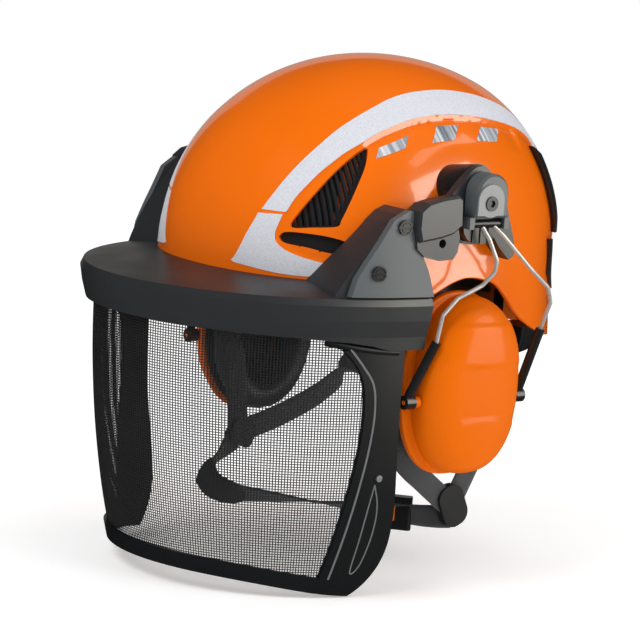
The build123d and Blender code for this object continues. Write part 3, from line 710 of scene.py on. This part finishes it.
def add_films():
    v, f = join([
        film_strip(ARCH_OUT, ARCH_IN, 10, 150),
        film_strip(FOOT_OUT, FOOT_IN, 10, 70),
    ])
    left = make_object("stripe_left", v, f, "film", "helmet", ["reflective_stripe_left"])
    mirror_copy(left, "stripe_right", "helmet", ["reflective_stripe_right"])
    v, f = join([film_strip(a, b, 8, 14, lift=0.2) for a, b in MARKS])
    left = make_object("marks_left", v, f, "silver", "helmet", ["silver_marks_left"])
    mirror_copy(left, "marks_right", "helmet", ["silver_marks_right"])


# ---------------------------------------------------------------- visor

VISOR = [(-8, 112.6, 134.6), (-24, 112.8, 134.6), (-60, 112.6, 132.6), (-100, 110.8, 128), (-140, 106, 121),
         (-175, 99, 112.5), (-195, 95, 107)]
GUARD_Y = -32.0
FAR_SHIFT = 31.0  # the net ends this much sooner on the right
NET_COLS, NET_ROWS, NET_TOP, NET_LOW = 236, 106, -15, -180.5
NET_BAR = 0.18  # half a wire, as a share of the opening's pitch
WIRE_DEPTH = 0.45  # upright wires stand this deep, so the net closes at a slant
PANEL_FRONT = [(-94, -10), (-88, -26), (-77, -36), (-68, -50), (-65.5, -66), (-65.5, -85), (-68, -110),
               (-73, -150), (-78, -180)]
PIPING = [(-79, -29), (-69, -41), (-61.5, -52), (-59, -66), (-59.5, -85), (-63, -115), (-69, -158),
          (-71, -172)]
SEAM = [(-91, -27.5), (-75, -30.5), (-60, -32.5), (-46, -33.5)]
POCKET = [(-53, -113), (-55, -128), (-57, -148), (-58.5, -168), (-53.5, -164), (-50, -150), (-48.5, -136),
          (-49.5, -124), (-53, -113)]
BOTTOM = [(-190, -171), (-150, -172), (-120, -174.5), (-90, -179), (-66, -182.5), (-48, -183.5),
          (-20, -183)]


def visor_axes(z):
    line = smooth_line(VISOR, 200)[::-1]
    return np.interp(z, line[:, 0], line[:, 1]), np.interp(z, line[:, 0], line[:, 2])


def visor_point(phi, z, out=0.0):
    a, b = visor_axes(z)
    return np.stack([(a + out) * np.sin(phi), GUARD_Y - (b + out) * np.cos(phi), z], -1)


def visor_side(y, z, out=0.0):
    a, b = visor_axes(z)
    x = (a + out) * np.sqrt(np.maximum(1 - ((y - GUARD_Y) / (b + out)) ** 2, 0))
    return np.stack([x, y, z], -1)


def add_net():
    """The visor's net: a sheet of small square openings."""
    cols, rows = NET_COLS, NET_ROWS
    phi_line = np.linspace(-1.75, 1.75, 2000)
    pts = visor_point(phi_line, np.full(2000, -100.0))
    run = np.concatenate([[0], np.cumsum(np.linalg.norm(np.diff(pts, axis=0), axis=1))])
    phi = np.interp(np.linspace(0, run[-1], cols + 1), run, phi_line)
    z = np.linspace(NET_TOP, NET_LOW, rows + 1)
    front, bottom = smooth_line(PANEL_FRONT, 300), smooth_line(BOTTOM, 300)
    order = np.argsort(-front[:, 1])
    cuts = np.array([NET_BAR, 1 - NET_BAR])
    verts, faces, index = [], [], {}
    ribs = []

    def vert(i, j, u, v):
        key = (i, j, u, v)
        if key not in index:
            index[key] = len(verts)
            p = phi[i] + (phi[i + 1] - phi[i]) * u if u else phi[i]
            h = z[j] + (z[j + 1] - z[j]) * v if v else z[j]
            verts.append((p, h))
        return index[key]

    mid_phi = (phi[1:] + phi[:-1]) / 2
    mid_z = (z[1:] + z[:-1]) / 2
    for j in range(rows):
        where = visor_point(mid_phi, np.full(cols, mid_z[j]))
        back = np.interp(-mid_z[j], -front[order][:, 1], front[order][:, 0])
        back = back - np.where(mid_phi < 0, FAR_SHIFT, 0.0)
        low = np.interp(where[:, 1], bottom[:, 0], bottom[:, 1])
        keep = (where[:, 1] < back + 2.5) & (mid_z[j] > low + 5.5)
        for i in range(cols):
            if not keep[i]:
                continue
            a, b = vert(i, j, 0, 0), vert(i + 1, j, 0, 0)
            c, d = vert(i + 1, j + 1, 0, 0), vert(i, j + 1, 0, 0)
            e, f = vert(i, j, cuts[0], cuts[0]), vert(i, j, cuts[1], cuts[0])
            g, h = vert(i, j, cuts[1], cuts[1]), vert(i, j, cuts[0], cuts[1])
            faces += [(a, b, f, e), (b, c, g, f), (c, d, h, g), (d, a, e, h)]
            ribs.append((a, d))
    flat = np.array(verts)
    points = visor_point(flat[:, 0], flat[:, 1]) * MM
    ends = np.array(ribs).ravel()
    deep = visor_point(flat[ends, 0], flat[ends, 1], -WIRE_DEPTH) * MM
    faces += [(a, d, len(points) + 2 * k + 1, len(points) + 2 * k) for k, (a, d) in enumerate(ribs)]
    points = np.vstack([points, deep])
    make_object("face_net", points, faces, "net", "visor", ["visor_mesh"], sharp=80)


def tube(points, radius, sides=8):
    """A closed round tube along points, in millimetres."""
    p = np.array(points, float)
    t = np.gradient(p, axis=0)
    t /= np.linalg.norm(t, axis=1)[:, None]
    up = np.array([1.0, 0.2, 0.1])
    verts = []
    for q, d in zip(p, t):
        a = np.cross(d, up)
        a /= np.linalg.norm(a)
        b = np.cross(d, a)
        for k in range(sides):
            w = 2 * np.pi * k / sides
            verts.append(q + radius * (a * math.cos(w) + b * math.sin(w)))
    faces = grid_faces(len(p), sides, 0, wrap=True)
    faces.append(tuple(range(sides - 1, -1, -1)))
    last = (len(p) - 1) * sides
    faces.append(tuple(range(last, last + sides)))
    return np.array(verts) * MM, faces


def add_visor_trim():
    """Piping behind the net's edge, a pocket's raised edge, and the rolled seam under the guard. The piping
    and the pocket's edge are real beads, coloured light grey as a painted highlight along them.
    """
    piping, pocket = smooth_line(PIPING, 120), smooth_line(POCKET, 90)
    for name, shift, sign in (("bead_left", 0.0, 1), ("bead_right", -FAR_SHIFT, -1)):
        parts = []
        for line, radius in ((piping, 0.7), (pocket, 0.5)):
            side = visor_side(line[:, 0] + shift, line[:, 1], 1.5) * (sign, 1, 1)
            parts.append(tube(side, radius))
        v, f = join(parts)
        make_object(name, v, f, "bead", "visor")
        seam = smooth_line(SEAM, 60)
        v, f = tube(visor_side(seam[:, 0] + shift, seam[:, 1]) * (sign, 1, 1), 2.4, 16)
        make_object(name.replace("bead", "seam"), v, f, "visor_black", "visor")


# ---------------------------------------------------------------- ear cups

CUP_Y, CUP_Z = 5.0, -56.0
PIN_X, PIN_Z = 112, -64  # the pins that the cup tilts on

# Rings of the cup, from the flange outwards: x, half width, half height and the middle's y.
CUP_PROFILE = [
    (100.0, 38.0, 55.0, 5.0), (100.5, 38.6, 55.6, 5.0), (103.2, 38.6, 55.6, 5.0), (104.2, 37.8, 54.8, 5.0),
    (104.6, 35.9, 53.9, 8.4), (108, 35.5, 53.7, 8.5), (114, 35.0, 53.2, 8.5), (119, 33.8, 51.8, 8.5),
    (123.5, 31.6, 49.4, 8.5), (127.5, 28.0, 45.4, 8.5), (130.4, 22.6, 39.4, 8.5), (132.0, 15.5, 30.0, 8.5),
    (132.8, 8.0, 16.0, 8.5), (133.0, 0.4, 0.8, 8.5)]
CUP_INSIDE = [
    (130.2, 0.4, 0.8, 8.5), (129.8, 14, 28, 8.5), (128.0, 20.6, 37, 8.5), (124.0, 27.5, 45, 8.5),
    (117, 31.8, 49.5, 8.5), (108, 33.2, 51.3, 8.5), (103, 33.6, 51.6, 8.4), (100.0, 34.0, 52.0, 7.0)]


def superoval(a, b, theta, power=2.25):
    c, s = np.cos(theta), np.sin(theta)
    return a * np.sign(c) * np.abs(c) ** (2 / power), b * np.sign(s) * np.abs(s) ** (2 / power)


def cup_rings(profile, count, cols, step=True):
    line = smooth_line(profile, count)
    theta = np.linspace(0, 2 * np.pi, cols, endpoint=False)
    rows = []
    for x, a, b, y0 in line:
        y, z = superoval(a, b, theta)
        xs = np.full(cols, x)
        yy, zz = y + y0, z + CUP_Z
        if step:
            face = smoothstep(xs, 116, 128)
            band = smoothstep(zz + 0.05 * (yy - 8) ** 2 / 10, -73.5, -71.5)
            band *= 1 - smoothstep(zz, -42.0, -40.2)
            xs = xs - 1.1 * face * band
            crown = smoothstep(zz - CUP_Z, 38, 41) * smoothstep(xs, 110, 118)
            xs = xs - 1.4 * crown
        rows.append(np.stack([xs, yy, zz], -1))
    return rows


def add_cups():
    cols = 112
    outer = cup_rings(CUP_PROFILE, 84, cols)
    inner = cup_rings(CUP_INSIDE, 24, cols, step=False)
    rows = outer
    verts = np.concatenate(rows)
    faces = grid_faces(len(rows), cols, 0, wrap=True)
    n_outer = len(rows)
    faces.append(tuple((n_outer - 1) * cols + j for j in range(cols)))
    base = len(verts)
    verts = np.vstack([verts, np.concatenate(inner)])
    faces += grid_faces(len(inner), cols, base, wrap=True)
    faces.append(tuple(base + j for j in reversed(range(cols))))
    last = base + (len(inner) - 1) * cols
    for j in range(cols):
        k = (j + 1) % cols
        faces.append((last + j, last + k, k, j))
    pieces = [(verts * MM, faces)]
    for root, boss_end, pin_end in ((-27.5, -31.0, -38.5), (43.0, 46.0, 53.5)):
        for end, radius, sides in ((pin_end, 1.35, 16), (boss_end, 3.4, 20)):
            line = [(PIN_X, y, PIN_Z) for y in (root, (root + end) / 2, end)]
            pieces.append(tube(line, radius, sides))
    v, f = join(pieces)
    left = make_object("cup_left", v, f, "cup", "muff_cup_left", ["ear_cup_left"], sharp=42)
    mirror_copy(left, "cup_right", "muff_cup_right", ["ear_cup_right"])


def puff(o, voxel, pressure, cap, frames=20):
    """Swells a closed mesh a little with cloth, as a stuffed cover does."""
    bpy.context.view_layer.objects.active = o
    o.data.remesh_voxel_size = voxel
    with bpy.context.temp_override(active_object=o, object=o, selected_objects=[o]):
        bpy.ops.object.voxel_remesh()
    start = np.zeros(len(o.data.vertices) * 3)
    o.data.vertices.foreach_get("co", start)
    cloth = o.modifiers.new("cloth", "CLOTH")
    s = cloth.settings
    s.quality, s.mass = 5, 0.15
    s.use_pressure, s.uniform_pressure_force = True, pressure
    s.tension_stiffness = s.compression_stiffness = 12
    s.shear_stiffness, s.bending_stiffness = 8, 0.4
    s.effector_weights.gravity = 0
    for f in range(1, frames + 1):
        scene.frame_set(f)
    deps = bpy.context.evaluated_depsgraph_get()
    done = bpy.data.meshes.new_from_object(o.evaluated_get(deps))
    end = np.zeros(len(done.vertices) * 3)
    done.vertices.foreach_get("co", end)
    bpy.data.meshes.remove(done)
    o.modifiers.remove(cloth)
    scene.frame_set(1)
    start, end = start.reshape(-1, 3), end.reshape(-1, 3)
    move = end - start
    far = np.linalg.norm(move, axis=1, keepdims=True)
    move *= np.minimum(1.0, cap / np.maximum(far, 1e-9))
    o.data.vertices.foreach_set("co", (start + move).ravel())
    o.data.update()
    o.data.shade_smooth()


def add_cushions():
    cols, around = 96, 20
    theta = np.linspace(0, 2 * np.pi, cols, endpoint=False)
    verts = []
    for t in theta:
        y, z = superoval(28.6, 45.2, np.array([t]), 2.1)
        n = np.array([y[0] / 28.6**2, z[0] / 45.2**2])
        n /= np.linalg.norm(n)
        wave = 0.35 * math.sin(23 * t) + 0.25 * math.sin(37 * t + 1)
        for k in range(around):
            w = 2 * np.pi * k / around
            c, s = math.cos(w), math.sin(w)
            r = 8.0 * np.sign(c) * abs(c) ** 0.8
            x = 88.2 + (9.2 + 0.25 * wave) * np.sign(s) * abs(s) ** 0.75
            verts.append((x, CUP_Y + y[0] + n[0] * r, CUP_Z + z[0] + n[1] * r))
    faces = []
    for i in range(cols):
        for k in range(around):
            a, b = i * around + k, i * around + (k + 1) % around
            c, d = ((i + 1) % cols) * around + (k + 1) % around, ((i + 1) % cols) * around + k
            faces.append((a, b, c, d))
    left = make_object("cushion_left", np.array(verts) * MM, faces, "vinyl", "muff_cup_left",
                       ["ear_cushion_left"])
    puff(left, 0.004, 4.0, 0.003)
    sub = left.modifiers.new("smooth", "SUBSURF")
    sub.levels = sub.render_levels = 1
    right = mirror_copy(left, "cushion_right", "muff_cup_right", ["ear_cushion_right"])
    sub = right.modifiers.new("smooth", "SUBSURF")
    sub.levels = sub.render_levels = 1


# ---------------------------------------------------------------- webbing


def ribbon(points, across, width, thick, count=70):
    """Flat webbing with a rolled edge and its own UV in millimetres."""
    line = smooth_line(points, count)
    side = smooth_line([np.array(a, float) / np.linalg.norm(a) for a in across], count)
    t = np.gradient(line, axis=0)
    t /= np.linalg.norm(t, axis=1)[:, None]
    run = np.concatenate([[0], np.cumsum(np.linalg.norm(np.diff(line, axis=0), axis=1))])
    w, h = width / 2, thick / 2
    top = [(-w, 0.35), (-w + 0.5, 1), (-w * 0.5, 0.86), (0, 0.82), (w * 0.5, 0.86), (w - 0.5, 1), (w, 0.35)]
    section = top + [(u, -v) for u, v in reversed(top)]
    verts, uv = [], []
    for i in range(count):
        s = side[i] - t[i] * (side[i] @ t[i])
        s /= np.linalg.norm(s)
        n = np.cross(t[i], s)
        for u, v in section:
            verts.append((line[i] + s * u + n * v * h) * MM)
            uv.append((u, run[i]))
    k = len(section)
    faces = grid_faces(count, k, 0, wrap=True)
    faces.append(tuple(range(k - 1, -1, -1)))
    faces.append(tuple((count - 1) * k + j for j in range(k)))
    return np.array(verts), faces, uv


def add_webbing(name, bands, replaces, body="helmet"):
    verts, faces, uvs, base = [], [], [], 0
    for v, f, uv in bands:
        verts.append(v)
        faces += [tuple(base + i for i in face) for face in f]
        uvs += uv
        base += len(v)
    o = make_object(name, np.vstack(verts), faces, "web", body, replaces, sharp=60)
    layer = o.data.uv_layers.new(name="band")
    for loop in o.data.loops:
        layer.data[loop.index].uv = uvs[loop.vertex_index]
    return o


BAND, BAND_THICK = 15, 1.5


def add_straps():
    """The two legs at each side meet in a divider, and one band goes from side to side under the chin."""
    near, far = np.array((64.0, 46.0, -143.0)), np.array((-64.0, -25.0, -119.0))
    front = ribbon([near + (0, -4, 2), (64.5, 22, -126), (65.5, 3, -111), (70, -21, -83), (75.5, -35.5, -45),
                    (83, -42, -22), (89.5, -46, -5)],
                   [(0, 0.6, 1), (0, 0.7, 1), (0, 0.8, 1), (0, 1, 0.6), (0, 1, 0.3), (0, 1, 0.25),
                    (0, 1, 0.3)],
                   BAND, BAND_THICK)
    rear = ribbon([near + (0, 2, 4), (64.8, 57, -120), (66.2, 68, -95), (71, 72, -66), (75.6, 74, -38)],
                  [(0, 1, -0.5), (0, 1, -0.35), (0, 1, -0.2), (0, 1, -0.1), (0, 1, 0)], BAND, BAND_THICK)
    add_webbing("chin_leg_left", [front, rear], ["strap_left"])
    front = ribbon([far + (0, -2, 3), (-65.2, -29.5, -95), (-67.5, -31.5, -70), (-77, -38.5, -40),
                    (-89.5, -46, -5)],
                   [(0, 1, 0.3), (0, 1, 0.1), (0, 1, 0.1), (0, 1, 0.2), (0, 1, 0.3)], BAND, BAND_THICK)
    rear = ribbon([far + (0, 4, 2), (-64.5, 8, -108.5), (-66, 40, -95.5), (-68, 64, -78), (-72.5, 72, -58),
                   (-75.6, 74, -38)],
                  [(0, -0.4, 1), (0, -0.3, 1), (0, 0, 1), (0, 0.8, 0.8), (0, 1, 0.2), (0, 1, 0)],
                  BAND, BAND_THICK)
    add_webbing("chin_leg_right", [front, rear], ["strap_right"])
    chin = ribbon([(-64, -30, -123), (-63.3, -42, -133), (-58.5, -54, -141.8), (-50, -54.5, -147.5),
                   (-40, -50, -150), (-26, -38.5, -150.2), (-12, -26, -150), (4, -10, -150.4), (20, 6, -151),
                   (34, 19.3, -151.6), (48, 32, -152), (56, 40, -151.6), (63.5, 46.5, -150.8)],
                  [(0, 0.5, 1), (0.1, 0.5, 1), (0.35, 0.4, 1), (0.5, 0.1, 1), (0.6, -0.4, 0.7),
                   (0.7, -0.7, 0.25), (0.7, -0.7, 0.2), (0.6, -0.6, 0.35), (0.2, -0.3, 1), (0, -0.2, 1),
                   (0, -0.2, 1), (0, -0.3, 1), (0, -0.3, 1)], BAND, BAND_THICK, 120)
    add_webbing("chin_band", [chin], ["chin_web"])


def add_chin_pad():
    """A thick soft sleeve with a few ribs where the strap goes under the chin."""
    count, sides = 72, 24
    line = smooth_line([(-62.3, -47, -137), (-58.5, -54, -141.8), (-50, -54.8, -147.4), (-40, -50.2, -150.2),
                        (-31, -42.6, -150.6)], count)
    side = smooth_line([(0.2, 0.45, 1), (0.35, 0.4, 1), (0.5, 0.1, 1), (0.5, -0.3, 0.8), (0.5, -0.5, 0.7)],
                       count)
    t = np.gradient(line, axis=0)
    t /= np.linalg.norm(t, axis=1)[:, None]
    verts = []
    for i in range(count):
        s = side[i] - t[i] * (side[i] @ t[i])
        s /= np.linalg.norm(s)
        n = np.cross(t[i], s)
        end = math.sqrt(max(1 - abs(2 * i / (count - 1) - 1) ** 7, 0.003))
        rib = 1 + 0.07 * math.sin(2 * math.pi * i / 9)
        for k in range(sides):
            c, w = math.cos(2 * math.pi * k / sides), math.sin(2 * math.pi * k / sides)
            u = 9.0 * end * np.sign(c) * abs(c) ** 0.75
            v = 3.9 * end * rib * np.sign(w) * abs(w) ** 0.75
            verts.append((line[i] + s * u + n * v) * MM)
    faces = grid_faces(count, sides, 0, wrap=True)
    faces.append(tuple(range(sides - 1, -1, -1)))
    faces.append(tuple((count - 1) * sides + j for j in range(sides)))
    make_object("chin_sleeve", verts, faces, "rubber", "helmet", ["chin_pad"], sharp=60)


# ---------------------------------------------------------------- build

add_camera()
add_world()
add_floor()
dress_nodes()
for _name in ("brow_guard", "end_plate_left", "end_plate_right", "visor_arm_left", "visor_arm_right",
              "wire_boss_left", "wire_boss_right", "mount_base_left", "mount_base_right"):
    soften(NODES[_name], 0.0007)
for _name in ("visor_hem", "visor_panel_left", "visor_panel_right", "boss_plate_left", "boss_plate_right",
              "plate_screws", "boss_screws", "rear_clips_left", "rear_clips_right", "buckle", "ratchet_knob",
              "ratchet_housing", "strap_divider_left", "strap_divider_right", "strap_anchors"):
    soften(NODES[_name], 0.0003)
for _name in ("muff_wire_left", "muff_wire_right", "wire_sleeve_left", "wire_sleeve_right", "headband",
              "cup_plate_left", "cup_plate_right", "crown_cradle", "vent_grille_left", "vent_grille_right"):
    NODES[_name].data.shade_smooth()
    NODES[_name].data.set_sharp_from_angle(angle=math.radians(40))
darken_hubs()
make_shell()
add_films()
add_net()
add_visor_trim()
add_cups()
add_cushions()
add_straps()
add_chin_pad()

add_area("window", place_at(122, 15, 1.25), (0, 0, 0.02), 0.82, 1.05, 19, False, True, WARM)
add_area("lid", place_at(140, 50, 1.5), (0, 0, 0.02), 1.2, 0.16, 1.2, False, True, WARM)
add_area("horizon", place_at(-125, 9, 2.1), (0, 0, 0.05), 1.9, 1.3, 2.6, False, True, WARM)
add_area("backdrop", place_at(-125, 9, 2.1), (0, 0, 0.05), 1.9, 1.3, 10)
add_area("side", place_at(110, 25, 1.5), (0, 0, 0.0), 0.9, 0.9, 7)
add_area("top", place_at(165, 72, 1.5), (0, 0, 0.02), 0.9, 0.9, 3.6)
add_area("fill", place_at(5, 45, 2.2), (0, 0, -0.02), 1.4, 1.0, 20)
scene.view_settings.view_transform = "Standard"
